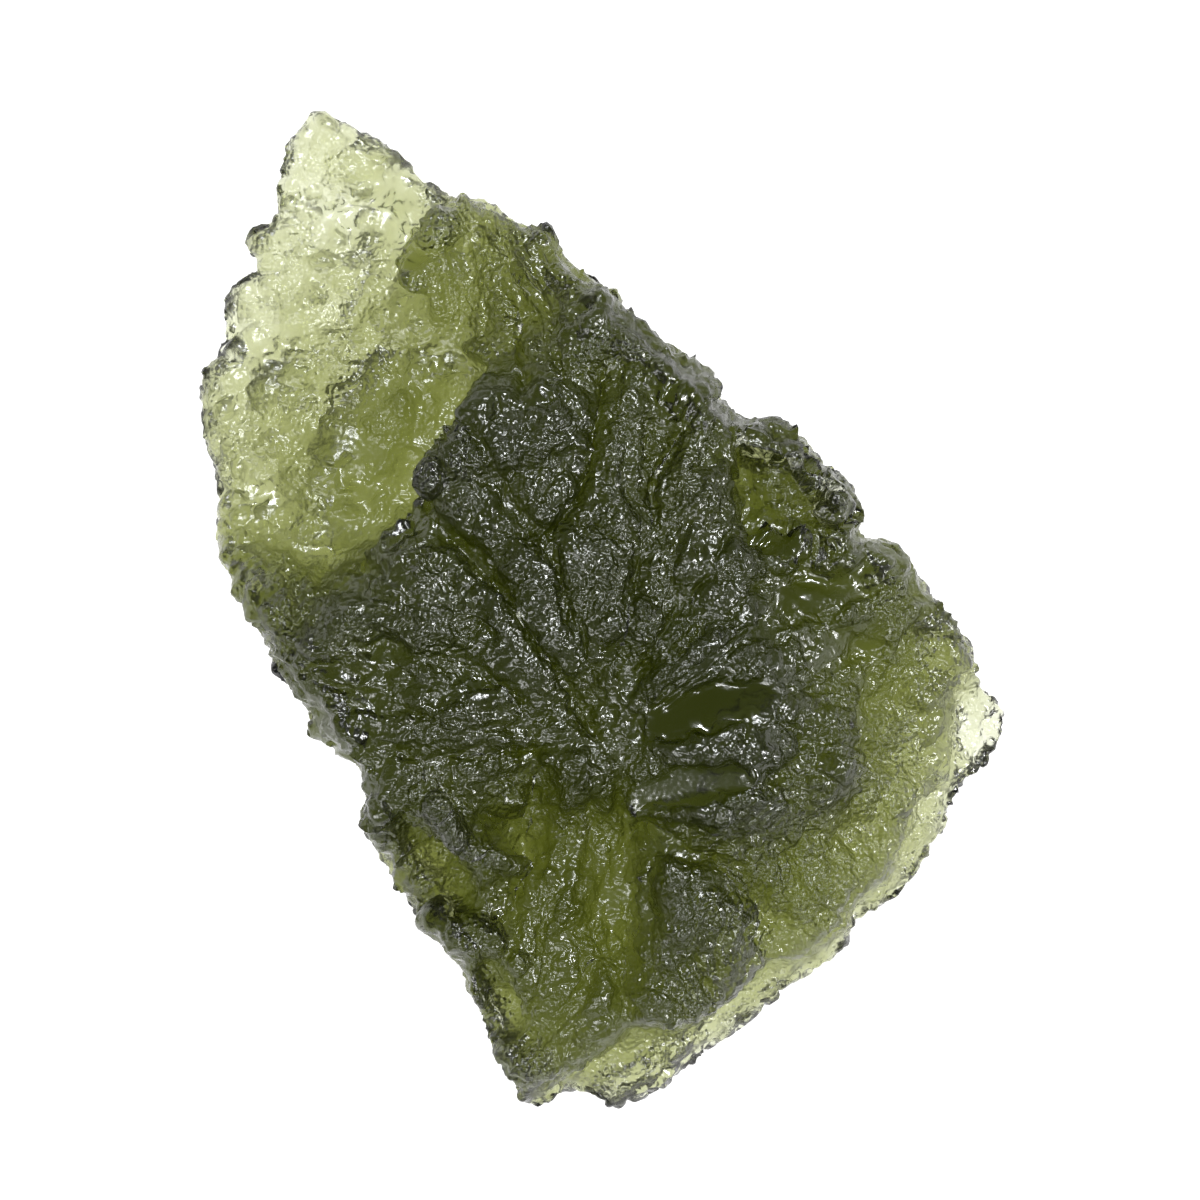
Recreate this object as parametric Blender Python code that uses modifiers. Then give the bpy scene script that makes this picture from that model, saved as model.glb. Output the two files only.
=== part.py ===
"""A flat, wedge-shaped moldavite, a natural green glass, lying on its flatter side.

A thin pale shelf runs to a tip at the upper left. A thick mass fills the rest, its top
cut by gutters that run out from a hub, and thin ledges close its lower right.
Metres, +Z up, the origin under the middle of the stone where it rests.
"""
import math

import bmesh
import bpy
import numpy as np
from mathutils import Vector, noise

NAME = "moldavite"
MM = 0.001

TRIANGLES = 9000
SLAB_HEIGHT = 6.0
COARSE_VOXEL = 0.26
FINE_VOXEL = 0.2
WELD_DISTANCE = 1e-7
HEIGHT_SOFTNESS = 0.95

GLASS_COLOUR = (0.62, 0.66, 0.42, 1.0)
GLASS_ROUGHNESS = 0.22
GLASS_IOR = 1.49

# The outline seen from above, in millimetres, clockwise from the tip
OUTLINE = [
    (-10.4, 18.0), (-10.0, 18.1), (-9.4, 17.9), (-8.8, 17.5), (-8.0, 17.1), (-7.3, 16.6),
    (-6.6, 15.9), (-6.0, 15.4), (-5.3, 14.8), (-4.8, 15.0), (-4.3, 14.8), (-3.6, 14.4),
    (-2.9, 13.8), (-2.3, 13.9), (-1.9, 13.4), (-1.5, 12.7), (-0.8, 12.3), (-0.5, 11.8),
    (0.2, 11.6), (0.6, 11.2), (0.9, 10.6), (1.6, 10.1), (2.2, 9.6), (2.9, 9.2),
    (3.6, 8.5), (4.1, 8.1), (4.1, 7.6), (4.7, 7.2), (5.4, 6.6), (6.7, 6.7),
    (7.3, 6.1), (8.1, 5.1), (8.9, 4.6), (9.4, 3.6), (9.1, 3.1), (9.5, 2.4),
    (10.3, 2.4), (10.9, 1.9), (11.4, 1.1), (12.1, 0.1), (12.9, -0.7), (13.4, -1.3),
    (13.5, -2.1), (13.9, -2.7), (14.3, -3.3), (14.6, -4.1), (14.4, -4.9), (14.0, -5.7),
    (13.1, -6.4), (12.6, -7.0), (12.5, -7.8), (11.9, -8.7), (11.3, -9.8), (10.6, -10.5),
    (10.1, -10.9), (9.3, -11.0), (9.2, -11.8), (8.6, -12.5), (7.8, -13.1), (6.7, -13.4),
    (6.5, -14.0), (5.8, -14.6), (4.9, -15.3), (3.9, -15.9), (3.0, -16.6), (2.2, -17.4),
    (1.3, -17.9), (0.2, -18.0), (-0.4, -17.6), (-1.2, -17.4), (-1.7, -17.7), (-2.2, -18.0),
    (-2.7, -17.6), (-3.1, -16.8), (-3.7, -15.9), (-4.0, -14.9), (-4.4, -14.2), (-4.9, -13.6),
    (-5.0, -12.8), (-5.5, -12.2), (-6.4, -11.3), (-6.8, -10.4), (-7.3, -9.8), (-7.5, -9.0),
    (-8.2, -8.2), (-8.5, -7.7), (-8.2, -7.1), (-8.4, -6.5), (-8.6, -5.6), (-9.4, -4.8),
    (-10.2, -4.4), (-10.1, -3.8), (-10.9, -2.9), (-11.5, -2.0), (-11.9, -1.3), (-12.2, -0.3),
    (-12.7, 0.3), (-13.2, 1.1), (-13.8, 1.8), (-13.9, 2.8), (-13.8, 3.5), (-13.8, 4.0),
    (-13.9, 4.7), (-14.2, 5.5), (-14.4, 6.6), (-14.3, 7.2), (-14.6, 8.0), (-14.3, 8.7),
    (-13.8, 9.1), (-13.6, 10.0), (-13.8, 10.7), (-13.7, 11.3), (-13.3, 11.9), (-12.6, 12.2),
    (-12.2, 12.5), (-12.7, 13.1), (-12.6, 13.6), (-11.8, 13.9), (-11.6, 14.5), (-11.8, 15.1),
    (-11.6, 16.0), (-11.3, 16.9), (-10.8, 17.5),
]

# Heights of the top of the thick mass: x, y, z
MASS_TOPS = [
    (-5.0, 14.2, 4.9), (-4.8, 11.4, 5.0), (-2.9, 11.1, 6.3), (0.0, 9.7, 8.2), (2.6, 7.2, 8.8), (-1.4, 5.7, 9.2),
    (-4.6, 5.2, 8.9), (-5.4, 0.3, 9.2), (-1.4, 0.3, 9.7), (-8.8, -1.0, 8.6), (-11.2, 0.3, 7.0),
    (-12.6, 1.6, 5.4), (3.6, 2.1, 9.3), (6.8, 4.4, 8.2), (8.3, 0.7, 7.8), (10.8, 0.3, 6.4),
    (0.4, -4.7, 8.6), (4.4, -3.0, 9.5), (4.3, -5.4, 9.5), (7.6, -5.4, 8.0), (12.0, -1.4, 5.0), (10.4, -4.6, 4.8),
    (10.2, -7.6, 5.4), (12.0, -4.6, 4.2), (13.6, -4.4, 2.6), (3.6, -9.8, 7.9), (7.2, -9.6, 6.4),
    (7.6, -11.8, 5.4), (-0.9, -8.6, 5.5), (-1.5, -11.2, 5.6), (0.7, -13.4, 7.0),
    (-3.4, -13.8, 6.2),
    (-1.4, -15.8, 5.8), (-4.2, -11.2, 7.8), (-7.0, -6.2, 8.2), (-5.6, -4.0, 9.0),
]

# Heights of the top of the thin shelf
SHELF_TOPS = [
    (-9.8, 17.2, 3.2), (-8.0, 15.4, 3.0), (-6.4, 14.6, 3.2), (-11.0, 14.4, 3.0),
    (-13.0, 10.6, 3.1), (-9.0, 12.0, 3.4), (-7.2, 10.4, 4.1), (-10.6, 8.6, 3.9),
    (-13.8, 7.2, 3.4), (-6.6, 7.2, 4.7), (-9.4, 4.6, 4.5), (-12.6, 4.6, 3.6),
    (-9.8, 2.4, 4.6), (-12.8, 2.6, 3.8),
]

# Heights of the top of the lower right ledge
LEDGE_TOPS = [
    (14.2, -4.4, 2.5), (13.0, -6.6, 3.1), (11.6, -9.0, 3.4), (9.2, -11.4, 3.6),
    (6.4, -13.6, 3.6), (4.2, -15.4, 3.3), (1.4, -16.6, 3.7), (-1.6, -17.6, 3.4),
]

# Heights of the underside before it is flattened where it rests
UNDERSIDES = [
    (-10.0, 17.6, 1.7), (-7.0, 15.2, 1.4), (-11.4, 14.0, 1.5), (-13.8, 10.8, 1.4),
    (-10.0, 10.0, 1.3), (-14.0, 6.6, 1.3), (-6.0, 10.8, 0.7), (-10.4, 5.0, 0.6),
    (-13.0, 2.4, 0.9), (-4.6, 14.2, 1.0), (0.0, 10.6, 0.7), (4.6, 6.6, 0.8),
    (9.0, 3.6, 1.0), (12.6, -1.0, 1.1), (14.0, -4.4, 1.2), (11.6, -8.6, 1.3),
    (8.4, -12.0, 1.1), (4.6, -15.0, 1.2), (0.6, -17.4, 1.4), (-2.4, -17.2, 1.2),
    (-5.0, -12.4, 0.8), (-8.0, -7.0, 0.8), (-11.4, -1.6, 0.9), (-1.0, 3.0, 0.4),
    (3.0, -6.0, 0.4), (-4.6, -3.4, 0.4), (5.0, 1.6, 0.4), (0.0, -11.0, 0.4),
]

# Broad swells of the underside that the stone rests on: x, y, reach
SWELLS = [
    (-6.4, 5.6, 4.4), (7.2, -0.6, 4.6), (-0.8, -11.0, 5.2), (-7.6, -3.6, 3.6), (1.4, -4.6, 3.8),
]
SWELL_DROP = 0.5
SWELL_RISE = 1.25

# Edge of the shelf region: x, y and how wide the slope there is
SHELF_EDGE = [
    (-5.0, 15.6, 0.4), (-5.4, 14.7, 0.4), (-6.5, 13.5, 0.4), (-6.9, 12.6, 0.6),
    (-7.1, 11.6, 1.2), (-5.6, 10.0, 2.2), (-4.1, 8.6, 1.6), (-4.6, 7.7, 0.6),
    (-5.1, 6.3, 0.45), (-6.2, 5.2, 0.4), (-6.5, 4.6, 0.5), (-5.9, 4.0, 1.0),
    (-7.3, 2.5, 1.4), (-8.5, 1.6, 1.4), (-9.6, 1.0, 1.3), (-10.8, 1.2, 1.2),
    (-11.8, 2.2, 1.2), (-13.0, 2.0, 1.4), (-15.5, 1.2, 1.4), (-18.0, 10.0, 1.4),
    (-14.0, 20.0, 1.4), (-6.0, 19.0, 0.7),
]

# Edge of the ledge region
LEDGE_EDGE = [
    (-2.6, -17.2, 0.6), (-1.2, -16.5, 0.5), (0.0, -15.8, 0.5), (0.9, -15.0, 0.5),
    (3.0, -15.1, 0.5), (4.3, -14.2, 0.5), (5.2, -13.3, 0.5), (6.0, -12.6, 0.6),
    (7.4, -12.5, 0.8), (8.7, -11.6, 0.8), (9.0, -10.4, 0.7), (10.4, -9.5, 0.7),
    (11.0, -8.2, 0.6), (11.5, -7.0, 0.6), (12.4, -6.1, 0.7), (12.6, -4.6, 0.9),
    (12.7, -3.0, 0.9), (13.2, -2.0, 0.9), (16.5, -2.0, 0.9), (17.0, -9.0, 0.8),
    (9.0, -18.0, 0.8), (2.0, -21.0, 0.8), (-3.5, -19.5, 0.8),
]

# Gutters and ridges of the top: points, half width at each end, height in the middle
SCULPTURE = [
    # The long gutter from the top to the hub
    ([(0.1, 8.2), (-0.3, 5.7), (-0.8, 3.9), (-1.7, 2.8), (-1.5, 1.1), (-0.8, -0.6),
      (0.0, -3.3)], 0.5, 0.4, -0.7),
    # The gutter from the foot of the shelf to the hub
    ([(-6.4, 4.0), (-5.5, 2.8), (-4.3, 1.7), (-3.2, 0.5), (-2.6, -0.6), (-0.4, -4.0)],
     0.7, 0.5, -0.9),
    # The smooth hollow at the right and the sharp crest that runs up to it from the hub
    ([(7.2, 1.3), (9.2, 0.7)], 0.7, 0.9, -0.8),
    ([(1.2, -3.2), (4.1, -1.2), (5.6, 0.3)], 0.4, 0.3, 0.6),
    # Three smooth petals right of the hub, with rough ribs between them
    ([(2.2, -3.8), (5.4, -3.1)], 0.7, 1.0, -0.2),
    ([(2.0, -6.4), (5.0, -6.0)], 0.7, 0.8, -0.35),
    ([(1.4, -7.2), (3.2, -8.8)], 0.6, 0.8, -0.4),
    ([(2.0, -4.9), (6.0, -4.6)], 0.5, 0.9, 0.5),
    ([(2.0, -7.0), (6.2, -7.6)], 0.5, 1.1, 0.6),
    # The second smooth hollow at the right
    ([(7.8, -0.5), (9.4, -1.2)], 0.7, 0.8, -0.8),
    # The ridge that bounds the plateau
    ([(9.0, -2.6), (8.7, -5.0), (8.4, -6.4)], 0.7, 0.9, 0.7),
    # The gutter down from the hub and the long ribbed lobe beside it
    ([(0.8, -6.0), (1.1, -7.7), (1.3, -9.8), (0.6, -12.0), (-0.8, -13.2)], 0.5, 0.7, -0.7),
    ([(-1.0, -5.8), (-1.0, -8.7), (-1.4, -11.0), (-2.0, -12.4)], 1.5, 1.9, 0.7),
    ([(-2.2, -5.6), (-2.9, -8.8), (-3.1, -11.4)], 0.4, 0.5, -0.5),
    ([(2.6, -9.4), (2.4, -12.0), (2.0, -14.4)], 0.8, 0.8, 0.6),
    ([(1.1, -11.6), (0.7, -14.4)], 0.6, 0.8, -0.9),
    ([(4.0, -8.8), (6.2, -11.0)], 0.8, 0.8, -0.8),
    # The smooth hollow above the flake scar
    ([(-4.0, -7.0), (-2.6, -8.8)], 0.7, 0.8, -0.9),
    # The bright edge of the flake scar
    ([(-6.1, -6.9), (-5.3, -7.6), (-4.4, -8.0), (-3.8, -8.9), (-3.1, -9.4)], 0.4, 0.4, 0.7),
    # Gutters of the left flank
    ([(-2.2, -4.9), (-6.0, -5.2), (-8.6, -4.6)], 0.4, 0.6, -0.5),
    ([(-2.4, -3.2), (-5.4, -1.6), (-9.0, -1.2)], 0.4, 0.6, -0.5),
    ([(-3.0, -10.0), (-3.6, -13.0), (-3.0, -15.4)], 0.6, 0.7, -0.8),
    # Gutters of the upper right flank
    ([(0.6, -1.6), (1.4, 1.6), (2.0, 4.6), (3.4, 7.0)], 0.4, 0.5, -0.6),
    ([(1.6, -1.8), (3.6, 0.8), (4.8, 3.2), (5.2, 5.0)], 0.4, 0.6, -0.6),
    ([(-3.2, 12.6), (-2.8, 9.6), (-2.6, 7.2)], 0.5, 0.4, -0.6),
    ([(-4.6, 5.4), (-2.6, 5.8), (-1.6, 6.6)], 0.9, 0.7, 0.5),
]

# Broken hollows: x, y, half length, half width, turn in degrees, depth
SCARS = [
    (-6.3, -9.4, 2.2, 1.5, -52.0, 1.9),
    (6.4, 4.0, 1.9, 1.3, -38.0, 1.3),
    (7.7, 2.6, 1.1, 0.7, -20.0, 0.9),
    (-3.6, -14.7, 1.2, 0.8, 70.0, 1.1),
]

SCAR_RIM = 1.2
SCAR_WALL = 0.55
SCULPTURE_CROWN = 1.5

# The ribs that fan out from a hub: broad ones, and slim ones between them
HUB = (0.4, -4.7)
FAN_HEIGHT = 0.42
FAN_INNER_RADIUS = 1.4
FAN_FULL_RADIUS = 5.0
FAN_BEND = 0.35
FAN_BEND_SIZE = 4.0
BROAD_RIBS = (3.4, 1.3, 0.0)
SLIM_RIBS = (7.5, 2.0, 9.0)
SLIM_RIB_SHARE = 0.6
FAN_LEVEL = 0.8

# Lumps all over the skin, and oval scales on the shelf
LUMP_SIZE = 2.3
LUMP_FLATTENING = 1.2
LUMP_HEIGHT = 0.34
GRAIN_SIZE = 1.1
GRAIN_HEIGHT = 0.17
GRAIN_LAYER = Vector((0.0, 0.0, 17.0))
UNDERSIDE_LUMPS = 0.7
SCALE_WIDTH = 1.25
SCALE_LENGTH = 1.0
SCALE_STEEPNESS = 1.6
SCALE_HEIGHT = 0.26

# Gutters of the underside
UNDERSIDE_GUTTER_SIZE = 4.6
UNDERSIDE_CREASE_SIZE = 2.1
UNDERSIDE_GUTTER_HEIGHT = 0.75
SWELL_WANDER = 0.45
SWELL_WANDER_SIZE = 2.6

# Rounding of the rim: from the thin shelf to the thick mass
THIN_RIM_RADIUS = 0.8
THICK_RIM_RADIUS = 0.75
RIM_HEIGHT_SHARE = 0.5
RIM_WANDER = 0.3
RIM_WANDER_SIZE = 3.0
RIM_HALF_HEIGHT = 0.26
FLANK_WANDER = 0.6
FLANK_WANDER_SIZE = 2.6
FLANK_DEPTH = 2.4
FLANK_CLEARANCE = 1.6

# Layers of the noise, so that no two fields repeat each other
GUTTER_LAYER = 31.0
CREASE_LAYER = 37.0
SWELL_LAYER = 41.0
RIM_LAYER = 23.0
BEND_LAYER = 3.0
SCALE_LAYER = 0.5


def clear_scene():
    """Removes whatever the scene starts with."""
    for existing in list(bpy.data.objects):
        bpy.data.objects.remove(existing, do_unlink=True)


def smooth_ramp(values):
    """Zero below 0, one above 1 and a soft curve between."""
    clipped = np.clip(values, 0.0, 1.0)
    return clipped * clipped * (3.0 - 2.0 * clipped)


def lumps(spot):
    """Round lumps with sharp creases between them."""
    return 1.2 * abs(noise.noise(spot)) - 0.3


def ribs(spot):
    """Sharp crests with round gutters between them."""
    return 1.0 - 2.2 * abs(noise.noise(spot))


def wander(plan, size, layer):
    """A slowly changing value between about minus one and one over the plan."""
    return np.array([noise.noise(Vector((x / size, y / size, layer))) for x, y in plan])


def path_distance(plan, path):
    """Distance of each plan point to a path, and how far along the path it is nearest."""
    path = np.array(path)
    lengths = np.linalg.norm(np.diff(path, axis=0), axis=1)
    starts = np.concatenate(([0.0], np.cumsum(lengths)))
    best = np.full(len(plan), np.inf)
    along = np.zeros(len(plan))
    for index, length in enumerate(lengths):
        step = path[index + 1] - path[index]
        offset = plan - path[index]
        share = np.clip(offset @ step / (length * length), 0.0, 1.0)
        distance = np.linalg.norm(offset - share[:, None] * step, axis=1)
        nearer = distance < best
        best = np.where(nearer, distance, best)
        along = np.where(nearer, starts[index] + share * length, along)
    return best, along / starts[-1]


def inside(plan, loop):
    """Whether each plan point is inside a closed loop of points."""
    result = np.zeros(len(plan), dtype=bool)
    for (x1, y1), (x2, y2) in zip(loop, loop[1:] + loop[:1]):
        crosses = (plan[:, 1] < y1) != (plan[:, 1] < y2)
        if y1 == y2:
            continue
        meeting = x1 + (plan[:, 1] - y1) * (x2 - x1) / (y2 - y1)
        result ^= crosses & (plan[:, 0] < meeting)
    return result


def region_share(plan, edge):
    """One inside a region, zero outside it, with a slope as wide as the edge says."""
    loop = [(x, y) for x, y, _ in edge]
    closed = loop + loop[:1]
    distance, along = path_distance(plan, closed)
    lengths = np.linalg.norm(np.diff(np.array(closed), axis=0), axis=1)
    stations = np.concatenate(([0.0], np.cumsum(lengths))) / lengths.sum()
    widths = [width for _, _, width in edge]
    width = np.interp(along, stations, widths + widths[:1])
    signed = np.where(inside(plan, loop), distance, -distance)
    return smooth_ramp(0.5 + signed / (2.0 * width))


def blended_height(plan, samples):
    """A soft surface through a few chosen heights."""
    total = np.zeros(len(plan))
    weight = np.full(len(plan), 1e-9)
    for x, y, height in samples:
        squared = (plan[:, 0] - x) ** 2 + (plan[:, 1] - y) ** 2
        influence = 1.0 / (squared + HEIGHT_SOFTNESS ** 2) ** 2
        total += influence * height
        weight += influence
    return total / weight


def sculpture_height(plan):
    """Gutters below and ridges above the swelling top."""
    height = np.zeros(len(plan))
    for path, start_width, end_width, peak in SCULPTURE:
        distance, along = path_distance(plan, path)
        width = start_width + (end_width - start_width) * along
        height += peak * np.clip(1.0 - (distance / width) ** 2, 0.0, 1.0) ** SCULPTURE_CROWN
    return height


def scar_depth(plan):
    """Hollows left by flakes, steep at the rim and flat within."""
    depth = np.zeros(len(plan))
    for x, y, half_length, half_width, turn, deepest in SCARS:
        angle = math.radians(turn)
        offset = plan - np.array((x, y))
        lengthwise = offset @ np.array((math.cos(angle), math.sin(angle)))
        crosswise = offset @ np.array((-math.sin(angle), math.cos(angle)))
        reach = np.sqrt((lengthwise / half_length) ** 2 + (crosswise / half_width) ** 2)
        depth = np.maximum(depth, deepest * smooth_ramp((SCAR_RIM - reach) / SCAR_WALL))
    return depth


def fan_ribs(angle, outward, kind):
    """Ribs along the radii, closer together or further apart by kind."""
    around, along, layer = kind
    return ribs(Vector((around * math.cos(angle), around * math.sin(angle), along * outward + layer)))


def fan_height(plan):
    """Ribs that run out from the hub and split on the way."""
    offset = plan - np.array(HUB)
    radius = np.linalg.norm(offset, axis=1)
    outward = np.log(np.maximum(radius, 0.3))
    bend = FAN_BEND * wander(plan, FAN_BEND_SIZE, BEND_LAYER)
    angle = np.arctan2(offset[:, 1], offset[:, 0]) + bend
    height = np.zeros(len(plan))
    for index in range(len(plan)):
        broad = fan_ribs(angle[index], outward[index], BROAD_RIBS)
        slim = fan_ribs(angle[index], outward[index], SLIM_RIBS)
        height[index] = broad + SLIM_RIB_SHARE * slim - FAN_LEVEL
    strength = smooth_ramp((radius - FAN_INNER_RADIUS) / (FAN_FULL_RADIUS - FAN_INNER_RADIUS))
    return FAN_HEIGHT * strength * height


def scale_height(plan):
    """Oval bumps like fish scales on the thin shelf."""
    height = np.zeros(len(plan))
    for index, (x, y) in enumerate(plan):
        spot = Vector((x / SCALE_WIDTH, y / SCALE_LENGTH, SCALE_LAYER))
        nearest, second = noise.voronoi(spot)[0][:2]
        height[index] = min(1.0, SCALE_STEEPNESS * (second - nearest)) - 0.5
    return SCALE_HEIGHT * height


def underside_height(plan):
    """The rippled underside, lowest where the stone rests."""
    gutters = np.abs(wander(plan, UNDERSIDE_GUTTER_SIZE, GUTTER_LAYER))
    creases = np.abs(wander(plan, UNDERSIDE_CREASE_SIZE, CREASE_LAYER))
    height = blended_height(plan, UNDERSIDES)
    height += UNDERSIDE_GUTTER_HEIGHT * (0.5 - 1.5 * gutters) * (1.0 - creases)
    stretch = 1.0 + SWELL_WANDER * wander(plan, SWELL_WANDER_SIZE, SWELL_LAYER)
    for x, y, reach in SWELLS:
        distance = np.hypot(plan[:, 0] - x, plan[:, 1] - y) * stretch
        height = np.minimum(height, SWELL_RISE * (distance / reach) ** 2 - SWELL_DROP)
    return height


def outline_slab():
    """A flat slab with the stone's outline, as an even mesh."""
    curve = bpy.data.curves.new("outline", "CURVE")
    curve.dimensions = "2D"
    curve.fill_mode = "BOTH"
    curve.extrude = 0.5 * SLAB_HEIGHT * MM
    spline = curve.splines.new("POLY")
    spline.points.add(len(OUTLINE) - 1)
    for point, (x, y) in zip(spline.points, OUTLINE):
        point.co = (x * MM, y * MM, 0.0, 1.0)
    spline.use_cyclic_u = True
    guide = bpy.data.objects.new("outline", curve)
    bpy.context.scene.collection.objects.link(guide)
    mesh = evaluated_mesh(guide)
    bpy.data.objects.remove(guide, do_unlink=True)
    return mesh


def evaluated_mesh(source):
    """The mesh an object has with its modifiers, as a new mesh without loose seams."""
    depsgraph = bpy.context.evaluated_depsgraph_get()
    mesh = bpy.data.meshes.new_from_object(source.evaluated_get(depsgraph))
    work = bmesh.new()
    work.from_mesh(mesh)
    bmesh.ops.remove_doubles(work, verts=work.verts, dist=WELD_DISTANCE)
    work.to_mesh(mesh)
    work.free()
    return mesh


def modified(mesh, kind, settings):
    """A mesh after one modifier."""
    holder = bpy.data.objects.new("holder", mesh)
    bpy.context.scene.collection.objects.link(holder)
    modifier = holder.modifiers.new(kind, kind)
    for name, value in settings.items():
        setattr(modifier, name, value)
    result = evaluated_mesh(holder)
    bpy.data.objects.remove(holder, do_unlink=True)
    return result


def remeshed(mesh, voxel):
    """An even, closed mesh of the same form."""
    return modified(mesh, "REMESH", {"mode": "VOXEL", "voxel_size": voxel * MM})


def positions(mesh):
    """Vertex places in millimetres."""
    flat = np.empty(len(mesh.vertices) * 3, dtype=np.float32)
    mesh.vertices.foreach_get("co", flat)
    return flat.reshape(-1, 3).astype(float) / MM


def normals(mesh):
    """Vertex normals."""
    flat = np.empty(len(mesh.vertices) * 3, dtype=np.float32)
    mesh.vertices.foreach_get("normal", flat)
    return flat.reshape(-1, 3).astype(float)


def place(mesh, places):
    """Moves the vertices to places in millimetres."""
    mesh.vertices.foreach_set("co", (places * MM).astype(np.float32).ravel())
    mesh.update()


def top_height(plan, shelf, ledge):
    """The top: the sculpted mass, and the lower shelf and ledge beside it."""
    mass = (1.0 - shelf) * (1.0 - ledge)
    top = blended_height(plan, MASS_TOPS)
    top += mass * (sculpture_height(plan) + fan_height(plan) - scar_depth(plan))
    top += shelf * (blended_height(plan, SHELF_TOPS) + scale_height(plan) - top)
    top += ledge * (blended_height(plan, LEDGE_TOPS) - top)
    return top


def raise_relief(mesh):
    """Turns the flat slab into the stone's swelling top, underside and round rim."""
    places = positions(mesh)
    plan = places[:, :2]
    shelf = region_share(plan, SHELF_EDGE)
    ledge = region_share(plan, LEDGE_EDGE)
    top = top_height(plan, shelf, ledge)
    under = underside_height(plan)
    to_edge, _ = path_distance(plan, OUTLINE + OUTLINE[:1])
    thickness_share = (1.0 - shelf) * (1.0 - ledge)
    radius = THIN_RIM_RADIUS + (THICK_RIM_RADIUS - THIN_RIM_RADIUS) * thickness_share
    fullness = np.sqrt(1.0 - (1.0 - np.clip(to_edge / radius, 0.0, 1.0)) ** 2)
    rim_share = RIM_HEIGHT_SHARE + RIM_WANDER * wander(plan, RIM_WANDER_SIZE, RIM_LAYER)
    rim = under + rim_share * (top - under)
    upper = rim + RIM_HALF_HEIGHT + (top - rim - RIM_HALF_HEIGHT) * fullness
    lower = rim - RIM_HALF_HEIGHT - (rim - RIM_HALF_HEIGHT - under) * fullness
    share = 0.5 + places[:, 2] / SLAB_HEIGHT
    places[:, 2] = lower + (upper - lower) * share
    flank = smooth_ramp(1.0 - to_edge / FLANK_DEPTH)
    flank *= smooth_ramp(np.abs(places[:, 2] - rim) / FLANK_CLEARANCE)
    place(mesh, roughened_flank(places, flank))


def roughened_flank(places, flank):
    """Moves the sides in and out, so that they don't copy the outline all the way down."""
    moved = places.copy()
    for index, (x, y, z) in enumerate(places):
        push = noise.noise_vector(Vector((x, y, LUMP_FLATTENING * z)) / FLANK_WANDER_SIZE)
        moved[index, 0] += FLANK_WANDER * flank[index] * push[0]
        moved[index, 1] += FLANK_WANDER * flank[index] * push[1]
    return moved


def lump_surface(mesh):
    """Pushes the whole skin in and out into lumps with creases between them."""
    places = positions(mesh)
    outward = normals(mesh)
    push = np.zeros(len(places))
    for index, (x, y, z) in enumerate(places):
        push[index] = LUMP_HEIGHT * lumps(Vector((x, y, LUMP_FLATTENING * z)) / LUMP_SIZE)
        push[index] += GRAIN_HEIGHT * lumps(Vector((x, y, z)) / GRAIN_SIZE + GRAIN_LAYER)
    facing_down = np.clip(-outward[:, 2], 0.0, 1.0)
    push *= 1.0 + (UNDERSIDE_LUMPS - 1.0) * facing_down
    place(mesh, places + outward * push[:, None])


def settle(mesh):
    """Centres the stone over the origin and cuts it flat where it rests."""
    places = positions(mesh)
    places[:, 2] = np.maximum(places[:, 2], 0.0)
    middle = 0.5 * (places.min(axis=0) + places.max(axis=0))
    places[:, :2] -= middle[:2]
    place(mesh, places)


def thinned(mesh):
    """The same form in fewer triangles."""
    triangles = sum(len(face.vertices) - 2 for face in mesh.polygons)
    settings = {"ratio": TRIANGLES / triangles, "use_collapse_triangulate": True}
    return modified(mesh, "DECIMATE", settings)


def glass_material():
    """Olive green natural glass with an etched, lightly frosted skin."""
    material = bpy.data.materials.new("moldavite_glass")
    material.use_nodes = True
    shader = material.node_tree.nodes["Principled BSDF"]
    shader.inputs["Base Color"].default_value = GLASS_COLOUR
    shader.inputs["Roughness"].default_value = GLASS_ROUGHNESS
    shader.inputs["Metallic"].default_value = 0.0
    shader.inputs["IOR"].default_value = GLASS_IOR
    shader.inputs["Transmission Weight"].default_value = 1.0
    return material


def build():
    """Models the stone as one object in a collection of its own."""
    clear_scene()
    mesh = remeshed(outline_slab(), COARSE_VOXEL)
    raise_relief(mesh)
    lump_surface(mesh)
    mesh = thinned(remeshed(mesh, FINE_VOXEL))
    settle(mesh)
    mesh.materials.clear()
    mesh.materials.append(glass_material())
    mesh.name = NAME
    stone = bpy.data.objects.new(NAME, mesh)
    collection = bpy.data.collections.new(NAME)
    bpy.context.scene.collection.children.link(collection)
    collection.objects.link(stone)


build()
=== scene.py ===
"""Dresses a moldavite: a flat wedge of olive green natural glass on a white lit ground.

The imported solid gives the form. This file adds the etched skin, the see-through glass,
the ground, the lamps and the camera. Lengths of the relief are in millimetres.
"""
import math

import bmesh
import bpy
import numpy as np
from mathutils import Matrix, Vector, noise


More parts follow.
